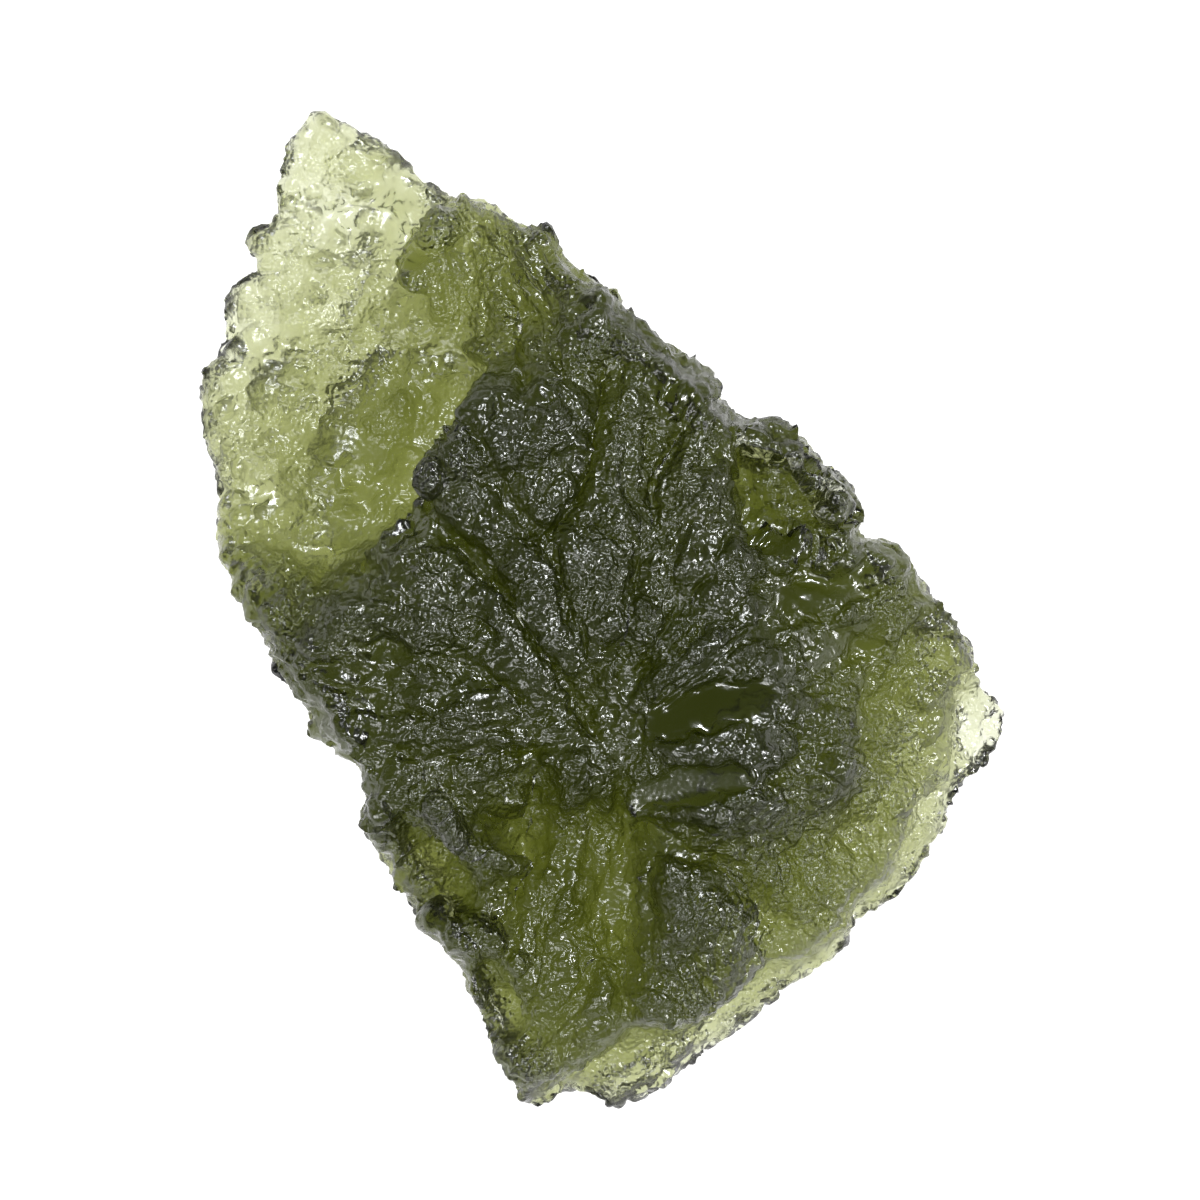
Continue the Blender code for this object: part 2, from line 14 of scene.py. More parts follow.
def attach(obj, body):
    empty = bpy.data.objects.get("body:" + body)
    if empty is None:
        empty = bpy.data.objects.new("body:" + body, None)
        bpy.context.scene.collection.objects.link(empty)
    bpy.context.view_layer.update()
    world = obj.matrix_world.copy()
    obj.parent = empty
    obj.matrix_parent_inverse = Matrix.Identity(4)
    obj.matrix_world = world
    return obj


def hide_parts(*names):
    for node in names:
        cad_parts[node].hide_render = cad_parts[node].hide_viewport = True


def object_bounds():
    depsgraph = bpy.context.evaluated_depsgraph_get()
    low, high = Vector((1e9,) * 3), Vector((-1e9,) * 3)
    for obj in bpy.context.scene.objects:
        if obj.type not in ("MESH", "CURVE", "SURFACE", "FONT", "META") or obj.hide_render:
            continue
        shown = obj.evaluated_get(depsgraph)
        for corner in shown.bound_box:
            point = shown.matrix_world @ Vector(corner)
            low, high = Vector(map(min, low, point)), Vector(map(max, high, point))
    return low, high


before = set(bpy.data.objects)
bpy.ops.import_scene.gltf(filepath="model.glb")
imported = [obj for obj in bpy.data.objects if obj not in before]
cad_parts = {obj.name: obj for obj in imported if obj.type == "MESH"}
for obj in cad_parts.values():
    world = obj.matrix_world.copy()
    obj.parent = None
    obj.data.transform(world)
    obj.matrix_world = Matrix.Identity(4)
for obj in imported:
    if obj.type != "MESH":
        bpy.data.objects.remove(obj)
CAD_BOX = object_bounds()

bl_info = {
    "name": "Moldavite",
    "version": (1, 0, 0),
    "blender": (4, 5, 0),
    "location": "3D View > Sidebar > Moldavite",
    "description": "Builds an etched, see-through moldavite on a white lit ground",
    "category": "Object",
}

NODE = "moldavite"
BODY = "root"
MM = 0.001

# The hub that the gutters run out from, seen from above
HUB = (0.4, -4.7)

# The thin shelf and the lower right ledge, seen from above
SHELF_REGION = [
    (-5.4, 14.7), (-6.5, 13.5), (-6.9, 12.6), (-7.1, 11.6), (-5.6, 10.0), (-4.1, 8.6),
    (-4.6, 7.7), (-5.1, 6.3), (-6.2, 5.2), (-6.5, 4.6), (-5.9, 4.0), (-7.3, 2.5),
    (-8.5, 1.6), (-9.6, 1.0), (-10.8, 1.2), (-11.8, 2.2), (-15.5, 1.2), (-18.0, 10.0),
    (-14.0, 20.0), (-5.0, 19.0),
]
LEDGE_REGION = [
    (-2.6, -17.2), (-1.2, -16.5), (0.0, -15.8), (0.9, -15.0), (3.0, -15.1), (4.3, -14.2),
    (5.2, -13.3), (6.0, -12.6), (7.4, -12.5), (8.7, -11.6), (9.0, -10.4), (10.4, -9.5),
    (11.0, -8.2), (11.5, -7.0), (12.4, -6.1), (12.6, -4.6), (12.7, -3.0), (16.5, -2.0),
    (17.0, -9.0), (9.0, -18.0), (2.0, -21.0), (-3.5, -19.5),
]

# The two steep parts of the mass's edge above the shelf, each a row of dark lumps
MASS_EDGES = (SHELF_REGION[1:4], SHELF_REGION[5:12])

# The chip at the right, which is broken into sharp facets
CHIP_REGION = [
    (4.75, 6.4), (8.9, 6.4), (9.25, 3.9), (8.7, 1.7), (6.4, 1.4), (4.9, 2.1),
]

# The bright crest of the flake scar
SCAR_CREST = [(-6.1, -6.9), (-5.3, -7.8), (-3.8, -9.1), (-3.0, -9.4)]

# Lines along which the skin rises or sinks: path, half width and height in mm.
# The slim ones are crests and cuts, and the broad ones are swells and hollows.
FINE_LINES = [
    (SCAR_CREST, 0.3, 0.65),
    ([(-6.8, -7.9), (-5.9, -9.0), (-4.5, -10.3), (-3.8, -11.0)], 0.9, -0.45),
    ([(-7.3, -8.3), (-7.2, -9.7)], 0.3, 0.35),
    ([(-4.4, -14.1), (-4.0, -15.5)], 0.3, 0.35),
    ([(5.0, 5.4), (5.4, 2.4)], 0.45, -0.5),
    ([(1.6, -3.1), (4.4, -0.9)], 0.2, 0.2),
    ([(2.0, -3.2), (5.0, -0.9)], 0.2, 0.25),
    ([(2.3, -3.4), (5.2, -1.3)], 0.2, 0.15),
    ([(-0.6, -5.6), (-0.9, -8.7), (-1.5, -11.0), (-2.1, -12.6)], 0.25, 0.2),
    ([(-1.3, -6.6), (-1.6, -8.9), (-2.2, -11.0)], 0.25, 0.2),
    ([(1.7, -9.4), (1.5, -11.6)], 0.2, 0.2),
    ([(2.4, -9.2), (2.6, -11.0)], 0.2, 0.2),
    ([(10.2, -4.0), (11.0, -6.4), (9.0, -8.4)], 2.0, -0.3),
    ([(-4.4, -13.4), (-2.6, -15.4)], 1.5, -0.55),
    ([(0.2, -16.9), (2.0, -16.6)], 1.2, -0.35),
    ([(13.2, -4.4), (13.8, -5.2)], 1.0, -0.3),
    ([(-7.6, 15.0), (-6.9, 13.0)], 1.3, -0.1),
    ([(10.6, 0.0), (11.4, -1.8)], 1.2, -0.25),
    ([(-10.0, 16.8), (-8.6, 15.6)], 1.4, 0.2),
]

# Small round knobs: middle, radius and height in mm
KNOBS = [(7.0, 2.3, 0.6, 0.4), (-5.8, -11.0, 0.6, 0.4), (-10.4, -1.6, 0.5, 0.3)]

# Smooth places between the ribs: the path along each, its half width and how smooth it is.
# The first two are petals, which are made flat as well.
FLAT_COUNT = 2
SMOOTH_PLACES = [
    ([(2.2, -3.8), (5.4, -3.1)], 0.95, 1.0),
    ([(1.8, -6.4), (4.8, -6.0)], 0.75, 1.0),
    ([(1.2, -7.3), (3.0, -8.8)], 0.7, 0.7),
    ([(6.6, 0.2), (9.4, 1.1)], 0.8, 0.7),
    ([(7.4, -1.6), (9.6, -0.8)], 0.8, 0.65),
    ([(1.0, -7.6), (0.9, -9.0), (0.4, -11.4)], 0.4, 0.4),
    ([(-3.8, -7.6), (-2.8, -8.6)], 0.6, 0.3),
    ([(-6.0, 3.6), (-5.0, 2.4), (-4.0, 1.4)], 0.5, 0.5),
    ([(-10.2, 6.1), (-8.4, 5.8)], 0.7, 0.7),
    ([(-9.8, 2.9), (-8.2, 2.6)], 0.8, 0.5),
    ([(-7.6, 14.8), (-6.9, 12.6)], 1.0, 1.0),
    ([(2.0, -3.2), (5.0, -0.9)], 0.3, 0.7),
]

# Places where the etched dots lie close together: path, half width and how close they lie
DENSE_PLACES = [
    ([(9.9, 0.4), (11.0, -1.6)], 1.2, 0.8),
    ([(9.6, -3.0), (10.0, -6.0), (8.0, -7.6), (5.6, -8.6)], 2.0, 0.8),
    ([(6.0, -10.0), (3.0, -12.4)], 1.6, 0.7),
    (SCAR_CREST, 0.35, 1.0),
    ([(-1.0, -16.6), (3.0, -14.0), (8.0, -11.0), (11.0, -8.2)], 1.2, 0.8),
    ([(-4.4, -13.2), (-2.6, -15.6)], 1.2, 1.0),
    ([(-6.8, -8.2), (-4.8, -11.0)], 1.0, 0.8),
    ([(-5.4, 4.4), (-3.0, 5.0), (-1.8, 4.0)], 1.2, 0.6),
]

# The left rim of the shelf, which is crumbled into small clear lumps, and how wide that is
CRUMBLED_RIM = [
    (-10.2, 17.9), (-11.2, 16.4), (-11.8, 14.6), (-12.4, 12.8), (-13.6, 10.8), (-14.2, 7.6),
    (-13.8, 4.4), (-13.4, 1.6), (-12.2, -0.2),
]
CRUMBLED_WIDTH = 1.7

# The rippled bowl of the shelf: its middle, its radius, how softly it ends and its ripples
BOWL = (-9.6, 6.6)
BOWL_RADIUS = 5.0
BOWL_FADE = 2.0
RIPPLE_WIDTH = 0.42
RIPPLE_HEIGHT = 0.03
RIPPLE_BEND = 5.0
RIPPLE_BEND_SIZE = 1.6

# Sizes of the patterns in mm, where two numbers are the sizes along x and y
KNOB_SIZE = 0.9
SMALL_KNOB_SIZE = 0.42
SHARD_SIZE = 0.75
CHIP_PLANE_SIZE = 0.95
EDGE_LUMP_SIZE = 0.7
SCALE_SIZE = (1.25, 1.0)
SCALE_BEND_SIZE = 0.8
WAVE_SIZE = (0.9, 0.36)
SHELF_PIT_SIZE = 0.55
CRUMB_SIZE = 0.85
FLANK_LUMP_SIZE = 1.3
SMALL_FLANK_LUMP_SIZE = 0.5
FLANK_SHARD_SIZE = 0.8
PATCH_SIZE = 1.7
SMALL_PATCH_SIZE = 0.6
WANDER_SIZE = 0.9
GUTTER_BEND_SIZE = 4.0

# Heights of the patterns in mm
KNOB_HEIGHT = 0.3
SHARD_HEIGHT = 0.2
CHIP_PLANE_HEIGHT = 0.9
EDGE_LUMP_HEIGHT = 0.35
STEP_HEIGHT = 0.45
WAVE_HEIGHT = 0.05
SHELF_PIT_HEIGHT = 0.08
CRUMB_HEIGHT = 0.34
FLANK_LUMP_HEIGHT = 0.35
SMALL_FLANK_LUMP_HEIGHT = 0.38
FLANK_SHARD_HEIGHT = 0.2
FLANK_RANGE = (-0.4, 0.16)
LEDGE_SINK = 0.2

# How far the edges of regions wander in mm, the scales bend in scale sizes, and the gutters
# bend in radians
WANDER = 0.6
SCALE_BEND = 0.45
GUTTER_BEND = 0.22

# Widths over which the regions change into each other, in mm
REGION_FADE = 0.8
CHIP_FADE = 0.6
STEP_FADE = 0.5

# How far the lumps and the steepening reach from the mass's edge, in mm
EDGE_LUMP_REACH = 0.6
STEP_REACH = 1.3

# The ribs fade within about this far of the hub, and no radius counts as less than the least
HUB_CALM = 1.2
LEAST_RADIUS = 0.2

# How far places reach from their path and how softly they end, in half widths
SMOOTH_REACH = 0.95
FLAT_REACH = 1.1
PLACE_FADE = 0.4

# The share of a flat place from which a point counts towards its plane
FLAT_ENOUGH = 0.6

# How much relief the smooth places lose
SMOOTH_CALM = 0.95

# How much of the etched dots' strength each kind of skin loses
SHELF_LOSS = 0.2
UNDERSIDE_LOSS = 0.4
FLANK_LOSS = 0.85
SMOOTH_LOSS = 0.94
CHIP_LOSS = 0.25

# The dots come in patches: their contrast, their least and greatest strength, and where dense
PATCH_CONTRAST = 1.5
PATCH_RANGE = (0.15, 1.6)
DENSE_STRENGTH = 1.5

# The relief is whole this far above the resting plane, and what passes the last part below
# the solid's top is squeezed by the share given
FLOOR_CALM = 0.35
TOP_CALM = 0.3
TOP_SQUEEZE = 0.4

# Rounds of smoothing for the whole skin and for the places that are smooth enough
SKIN_ROUNDS = 2
SMOOTH_ROUNDS = 30
SMOOTH_ENOUGH = 0.45

# How fast the roughness rises with the strength of the dots
ROUGHNESS_RISE = 3.0

# The lamps: name, place and width in metres, power in watts and colour
LAMPS = [
    ("far_softbox", (0.03, 0.235, 0.38), 0.08, 2.6, (0.95, 0.98, 1.0)),
    ("near_softbox", (-0.06, -0.25, 0.37), 0.08, 0.75, (0.98, 0.99, 1.0)),
    ("right_softbox", (0.36, -0.10, 0.22), 0.08, 1.8, (0.98, 0.99, 1.0)),
    ("left_softbox", (-0.26, -0.20, 0.28), 0.08, 0.7, (0.98, 0.99, 1.0)),
]

# Where the camera stands, seen from above, and how far the ground is below the stone, in mm
CAMERA_PLAN = (-0.108, 0.288)
GROUND_GAP = 0.02


class SkinSettings(bpy.types.PropertyGroup):
    """Sizes of the etched skin."""

    mesh_size: bpy.props.FloatProperty(
        name="Mesh size", description="Edge length of the detailed mesh",
        default=0.11 * MM, min=0.1 * MM, max=1.0 * MM, precision=5, unit="LENGTH")
    triangles: bpy.props.IntProperty(
        name="Triangles", description="Most triangles that the finished skin has",
        default=196000, min=20000, max=199000)
    rib_width: bpy.props.FloatProperty(
        name="Rib width", description="Width of the ribs that run out from the hub, in mm",
        default=0.55, min=0.2, max=3.0)
    rib_height: bpy.props.FloatProperty(
        name="Rib height", description="Height of those ribs, in mm",
        default=0.2, min=0.0, max=1.0)
    pit_width: bpy.props.FloatProperty(
        name="Pit width", description="Width of the etched pits, in mm",
        default=0.42, min=0.2, max=3.0)
    pit_height: bpy.props.FloatProperty(
        name="Pit height", description="Depth of the etched pits, in mm",
        default=0.08, min=0.0, max=1.0)
    scale_height: bpy.props.FloatProperty(
        name="Scale height", description="Height of the oval scales on the shelf, in mm",
        default=0.22, min=0.0, max=1.0)


class GlassSettings(bpy.types.PropertyGroup):
    """The green glass."""

    ior: bpy.props.FloatProperty(
        name="Index of refraction", description="How strongly the glass bends light",
        default=1.49, min=1.0, max=2.5)
    absorbed_colour: bpy.props.FloatVectorProperty(
        name="Colour in depth", description="Colour that the glass takes on with depth",
        default=(0.50, 0.53, 0.14), min=0.0, max=1.0, size=3, subtype="COLOR")
    density: bpy.props.FloatProperty(
        name="Density", description="How fast the colour deepens, per metre",
        default=850.0, min=0.0, max=5000.0)
    smooth_roughness: bpy.props.FloatProperty(
        name="Roughness where smooth", description="Roughness of the smooth gutters",
        default=0.14, min=0.0, max=1.0, subtype="FACTOR")
    etched_roughness: bpy.props.FloatProperty(
        name="Roughness where etched", description="Roughness of the etched ribs",
        default=0.28, min=0.0, max=1.0, subtype="FACTOR")
    frosting: bpy.props.FloatProperty(
        name="Frosting of the shelf", description="Roughness that the thin shelf has more",
        default=0.05, min=0.0, max=0.5, subtype="FACTOR")
    dots: bpy.props.FloatProperty(
        name="Dots", description="How many etched dots lie along one metre",
        default=5500.0, min=500.0, max=20000.0)
    dot_depth: bpy.props.FloatProperty(
        name="Dot depth", description="How deep the etched dots look",
        default=0.11 * MM, min=0.0, max=1.0 * MM, precision=5, unit="LENGTH")


class StudioSettings(bpy.types.PropertyGroup):
    """The ground, the lamps and the camera."""

    ground_width: bpy.props.FloatProperty(
        name="Ground width", description="Width of the pale ground",
        default=8.0, min=0.5, max=20.0, unit="LENGTH")
    ground_glow: bpy.props.FloatProperty(
        name="Ground glow", description="Light that the white ground gives by itself",
        default=1.38, min=0.0, max=5.0)
    horizon_grey: bpy.props.FloatProperty(
        name="Horizon grey", description="Brightness of the surroundings at the horizon",
        default=0.25, min=0.0, max=1.0)
    overhead_grey: bpy.props.FloatProperty(
        name="Overhead grey", description="Brightness of the surroundings overhead",
        default=0.1, min=0.0, max=1.0)
    frame_width: bpy.props.FloatProperty(
        name="Frame width", description="Width that the camera sees",
        default=43.2 * MM, min=0.01, max=1.0, unit="LENGTH")
    lens: bpy.props.FloatProperty(
        name="Lens", description="Focal length of the camera",
        default=200.0, min=20.0, max=400.0, unit="CAMERA")


def smooth_ramp(values):
    """Zero below 0, one above 1 and a soft curve between."""
    clipped = np.clip(values, 0.0, 1.0)
    return clipped * clipped * (3.0 - 2.0 * clipped)


def fade_out(distance, width):
    """One near a line, and zero a little over one width away."""
    return smooth_ramp(1.2 - distance / width)


def path_distance(plan, path):
    """Distance of each plan point to a path."""
    best = np.full(len(plan), np.inf)
    for start, end in zip(path, path[1:]):
        start = np.array(start)
        step = np.array(end) - start
        offset = plan - start
        share = np.clip(offset @ step / (step @ step), 0.0, 1.0)
        best = np.minimum(best, np.linalg.norm(offset - share[:, None] * step, axis=1))
    return best


def region_share(plan, loop, width):
    """One inside a closed loop, zero outside it, with a slope of the given width."""
    inside = np.zeros(len(plan), dtype=bool)
    for (x1, y1), (x2, y2) in zip(loop, loop[1:] + loop[:1]):
        if y1 == y2:
            continue
        crosses = (plan[:, 1] < y1) != (plan[:, 1] < y2)
        inside ^= crosses & (plan[:, 0] < x1 + (plan[:, 1] - y1) * (x2 - x1) / (y2 - y1))
    distance = path_distance(plan, loop + loop[:1])
    return smooth_ramp(0.5 + np.where(inside, distance, -distance) / width)


def soft_noise(points):
    """Smooth noise between about minus one and one at each point."""
    return np.array([noise.noise(point) for point in points.tolist()])


def lumps(points, middle):
    """Round lumps with sharp creases between them, lowered by their middle height."""
    return np.abs(soft_noise(points)) - middle


def ribs(points):
    """Sharp crests with round gutters between them."""
    return 1.0 - 2.4 * np.abs(soft_noise(points))


def pits(points):
    """Round pits with sharp walls between them, zero at a wall and one in a pit's middle."""
    gaps = []
    for point in points.tolist():
        nearest, second = noise.voronoi(point)[0][:2]
        gaps.append(second - nearest)
    return np.clip(np.array(gaps) * 1.5, 0.0, 1.0)


def facets(points):
    """Flat tilted planes that meet in sharp edges, about minus a half to a half high."""
    heights = []
    for point in points.tolist():
        middle = noise.voronoi(point)[1][0]
        tilt = noise.cell_vector(middle * 7.3)
        heights.append((Vector(point) - middle).dot(tilt - Vector((0.5, 0.5, 0.5))))
    return np.array(heights) * 1.6


class Surface:
    """The places and normals of the detailed mesh, and masks over it."""

    def __init__(self, mesh):
        count = len(mesh.vertices)
        flat = np.empty(count * 3, dtype=np.float32)
        mesh.vertices.foreach_get("co", flat)
        self.places = flat.reshape(-1, 3).astype(float) / MM
        mesh.vertices.foreach_get("normal", flat)
        self.normals = flat.reshape(-1, 3).astype(float)
        self.plan = self.places[:, :2]
        self.find_radii()
        self.find_regions()
        self.etched = self.dot_strength()

    def find_radii(self):
        """The distance of each point from the hub and its angle, which wavers a little."""
        offset = self.plan - np.array(HUB)
        self.radius = np.maximum(np.linalg.norm(offset, axis=1), LEAST_RADIUS)
        self.angle = np.arctan2(offset[:, 1], offset[:, 0])
        self.angle += GUTTER_BEND * soft_noise(self.flat_points(GUTTER_BEND_SIZE, 3.0))

    def find_regions(self):
        """How far each point belongs to the top and to each part of it."""
        self.up = smooth_ramp(self.normals[:, 2] / 0.5 + 0.2)
        wander = [soft_noise(self.flat_points(WANDER_SIZE, layer)) for layer in (1.5, 6.5)]
        self.jagged_plan = self.plan + WANDER * np.column_stack(wander)
        self.shelf = region_share(self.jagged_plan, SHELF_REGION, REGION_FADE) * self.up
        self.ledge = region_share(self.plan, LEDGE_REGION, REGION_FADE) * self.up
        self.mass = self.up * (1.0 - self.shelf) * (1.0 - self.ledge)
        self.chip = region_share(self.plan, CHIP_REGION, CHIP_FADE) * self.up
        self.smooth = self.strongest(SMOOTH_PLACES) * self.up

    def dot_strength(self):
        """How strongly the etched dots show at each point."""
        down = smooth_ramp(-2.0 * self.normals[:, 2])
        steep = smooth_ramp(1.6 - 2.6 * np.abs(self.normals[:, 2]))
        strength = 1.0 - SHELF_LOSS * self.shelf - UNDERSIDE_LOSS * down
        strength *= 1.0 - FLANK_LOSS * steep
        patches = soft_noise(self.solid_points(PATCH_SIZE, 50.0))
        patches += 0.4 * soft_noise(self.solid_points(SMALL_PATCH_SIZE, 0.0))
        patches = np.clip(1.0 + PATCH_CONTRAST * patches, *PATCH_RANGE)
        patches += (DENSE_STRENGTH - patches) * self.strongest(DENSE_PLACES)
        strength *= patches
        strength *= 1.0 - SMOOTH_LOSS * self.smooth
        strength *= 1.0 - CHIP_LOSS * self.chip
        return strength

    def flat_points(self, size, layer):
        """Noise points over the plan. Another layer gives another pattern."""
        return np.column_stack((self.plan / size, np.full(len(self.plan), layer)))

    def solid_points(self, size, layer):
        """Noise points through the solid. Another layer gives another pattern."""
        return self.places / size + layer

    def near(self, place, reach):
        """The strength of one place on its path, which ends at the reach in half widths."""
        path, half_width, strength = place
        away = path_distance(0.5 * (self.plan + self.jagged_plan), path) / half_width
        return strength * smooth_ramp((reach - away) / PLACE_FADE)

    def near_edge(self, width):
        """One on the steep parts of the mass's edge, and zero away from them."""
        away = np.min([path_distance(self.jagged_plan, path) for path in MASS_EDGES], axis=0)
        return fade_out(away, width)

    def strongest(self, places):
        """The strongest of several places at each point."""
        return np.max([self.near(place, SMOOTH_REACH) for place in places], axis=0)

    def flatten(self, places):
        """The heights that bring each place onto one plane, which keeps its slope."""
        heights = np.zeros(len(self.plan))
        terms = np.column_stack((self.plan, np.ones(len(self.plan))))
        for place in places:
            share = self.near(place, FLAT_REACH) * self.up
            chosen = share > FLAT_ENOUGH
            plane = np.linalg.lstsq(terms[chosen], self.places[chosen, 2], rcond=None)[0]
            heights += share * (terms @ plane - self.places[:, 2])
        return heights

    def fan_level(self, level, length, layer):
        """Noise points for one level of splitting, each in a part of its own of the noise."""
        around = 2.0 ** level
        return np.column_stack((
            around * np.cos(self.angle), around * np.sin(self.angle),
            self.radius / length + 13.0 * level + layer))

    def fan(self, kind, width, stretch, layer):
        """A pattern of about one width, long along the radii, which splits as it runs out."""
        level = np.log2(self.radius / width)
        low = np.floor(level)
        inner, outer = (
            kind(self.fan_level(low + step, width * stretch, layer)) for step in (0, 1))
        blend = smooth_ramp(level - low)
        return (1.0 - blend) * inner + blend * outer

    def push(self, heights):
        """Moves the skin along its normals, never below the floor or far above the top."""
        floor_share = smooth_ramp(self.places[:, 2] / FLOOR_CALM)
        moved = self.places + self.normals * (heights * floor_share)[:, None]
        above = moved[:, 2] - (CAD_BOX[1].z / MM - TOP_CALM)
        moved[:, 2] -= TOP_SQUEEZE * np.maximum(above, 0.0)
        moved[:, 2] = np.maximum(moved[:, 2], 0.0)
        return moved


def mass_relief(surface, skin):
    """Ribs, pits, knobs and shards of the thick mass, the chip's planes and lumps at the edge."""
    broad = surface.fan(ribs, 2.0 * skin.rib_width, stretch=3.5, layer=5.0)
    slim = surface.fan(ribs, skin.rib_width, stretch=4.5, layer=29.0)
    round_pits = surface.fan(pits, skin.pit_width, stretch=1.7, layer=61.0)
    knobs = lumps(surface.solid_points(KNOB_SIZE, 80.0), 0.23)
    knobs += 0.5 * lumps(surface.solid_points(SMALL_KNOB_SIZE, 17.0), 0.23)
    shards = facets(surface.solid_points(SHARD_SIZE, 5.0))
    relief = skin.rib_height * (broad + 0.8 * slim) - skin.pit_height * (round_pits - 0.5)
    off_hub = smooth_ramp(surface.radius / HUB_CALM - 0.3)
    calm = 1.0 - SMOOTH_CALM * surface.smooth
    whole = (relief * off_hub + KNOB_HEIGHT * knobs + SHARD_HEIGHT * shards) * calm
    planes = facets(surface.solid_points(CHIP_PLANE_SIZE, 0.0))
    whole += surface.chip * (CHIP_PLANE_HEIGHT * planes - whole)
    edge_lumps = np.sqrt(pits(surface.solid_points(EDGE_LUMP_SIZE, 23.0)))
    return whole + surface.near_edge(EDGE_LUMP_REACH) * (EDGE_LUMP_HEIGHT * edge_lumps - 0.05)


def fine_relief(surface):
    """The crests, cuts, swells and hollows along lines, and the small knobs."""
    relief = np.zeros(len(surface.plan))
    for path, half_width, height in FINE_LINES:
        distance = path_distance(surface.plan, path)
        relief += height * smooth_ramp(1.0 - distance / half_width)
    for x, y, radius, height in KNOBS:
        distance = np.linalg.norm(surface.plan - np.array((x, y)), axis=1)
        relief += height * np.sqrt(np.clip(1.0 - (distance / radius) ** 2, 0.0, 1.0))
    return relief * surface.up


def step_relief(surface):
    """Steepens the step from the shelf up to the mass."""
    side = 1.0 - 2.0 * region_share(surface.jagged_plan, SHELF_REGION, STEP_FADE)
    return STEP_HEIGHT * surface.near_edge(STEP_REACH) * side * surface.up


def shelf_relief(surface, skin):
    """Oval scales, fine pits, ripples and waves of the thin shelf, and its crumbled rim."""
    points = surface.flat_points(SCALE_SIZE, 0.5)
    for axis, layer in enumerate((8.0, 3.5)):
        points[:, axis] += SCALE_BEND * soft_noise(surface.flat_points(SCALE_BEND_SIZE, layer))
    relief = skin.scale_height * (pits(points) - 0.5)
    relief += SHELF_PIT_HEIGHT * (pits(surface.flat_points(SHELF_PIT_SIZE, 7.5)) - 0.5)
    relief += bowl_ripples(surface)
    relief += WAVE_HEIGHT * ribs(surface.flat_points(WAVE_SIZE, 4.5))
    crumbs = np.sqrt(pits(surface.solid_points(CRUMB_SIZE, 11.0)))
    rim = fade_out(path_distance(surface.plan, CRUMBLED_RIM), CRUMBLED_WIDTH)
    relief += rim * (CRUMB_HEIGHT * (crumbs - 0.6) - relief)
    return relief * (1.0 - SMOOTH_CALM * surface.smooth)


def bowl_ripples(surface):
    """Bent ripples round the middle of the shelf's bowl."""
    radius = np.linalg.norm(surface.plan - np.array(BOWL), axis=1)
    bend = RIPPLE_BEND * soft_noise(surface.flat_points(RIPPLE_BEND_SIZE, 9.0))
    ripple = np.sin(radius * 2.0 * math.pi / RIPPLE_WIDTH + bend)
    return RIPPLE_HEIGHT * ripple * smooth_ramp((BOWL_RADIUS - radius) / BOWL_FADE)


def side_relief(surface):
    """Lumps and shards of the flanks, the ledges and the underside."""
    relief = FLANK_LUMP_HEIGHT * lumps(surface.solid_points(FLANK_LUMP_SIZE, 0.0), 0.2)
    small = lumps(surface.solid_points(SMALL_FLANK_LUMP_SIZE, 40.0), 0.2)
    relief += SMALL_FLANK_LUMP_HEIGHT * small
    relief += FLANK_SHARD_HEIGHT * facets(surface.solid_points(FLANK_SHARD_SIZE, 0.0))
    relief = np.clip(relief, *FLANK_RANGE)
    return relief * (1.0 - 0.5 * surface.ledge) - LEDGE_SINK * surface.ledge


def whole_relief(surface, skin):
    """How far each point of the skin is to move out along its normal, in mm."""
    sides = 1.0 - surface.mass - surface.shelf
    relief = surface.mass * mass_relief(surface, skin)
    relief += surface.shelf * shelf_relief(surface, skin)
    relief += sides * side_relief(surface)
    relief += fine_relief(surface) + step_relief(surface)
    relief += surface.flatten(SMOOTH_PLACES[:FLAT_COUNT])
    return relief


def even_copy(size):
    """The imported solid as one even, finely divided mesh."""
    work = bmesh.new()
    work.from_mesh(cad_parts[NODE].data)
    bmesh.ops.remove_doubles(work, verts=work.verts, dist=1e-7)
    mesh = bpy.data.meshes.new("moldavite_skin")
    work.to_mesh(mesh)
    work.free()
    stone = bpy.data.objects.new("moldavite_skin", mesh)
    bpy.context.scene.collection.objects.link(stone)
    remesh = stone.modifiers.new("even", "REMESH")
    remesh.mode = "VOXEL"
    remesh.voxel_size = size
    depsgraph = bpy.context.evaluated_depsgraph_get()
    stone.data = bpy.data.meshes.new_from_object(stone.evaluated_get(depsgraph))
    stone.modifiers.clear()
    return stone


def thin_out(stone, triangles):
    """Takes triangles out where the skin is even, down to the number given."""
    count = sum(len(face.vertices) - 2 for face in stone.data.polygons)
    decimate = stone.modifiers.new("thin out", "DECIMATE")
    decimate.ratio = min(1.0, triangles / count)
    decimate.use_collapse_triangulate = True
    depsgraph = bpy.context.evaluated_depsgraph_get()
    stone.data = bpy.data.meshes.new_from_object(stone.evaluated_get(depsgraph))
    stone.modifiers.clear()
    print("skin triangles", count, "thinned to", len(stone.data.polygons))


def soften(mesh, rounds, chosen=None):
    """Rounds off the mesh, or only the vertices chosen."""
    work = bmesh.new()
    work.from_mesh(mesh)
    vertices = list(work.verts)
    if chosen is not None:
        vertices = [vertices[index] for index in np.flatnonzero(chosen)]
    for _ in range(rounds):
        bmesh.ops.smooth_vert(
            work, verts=vertices, factor=0.5, use_axis_x=True, use_axis_y=True, use_axis_z=True)
    work.to_mesh(mesh)
    work.free()
    mesh.update()


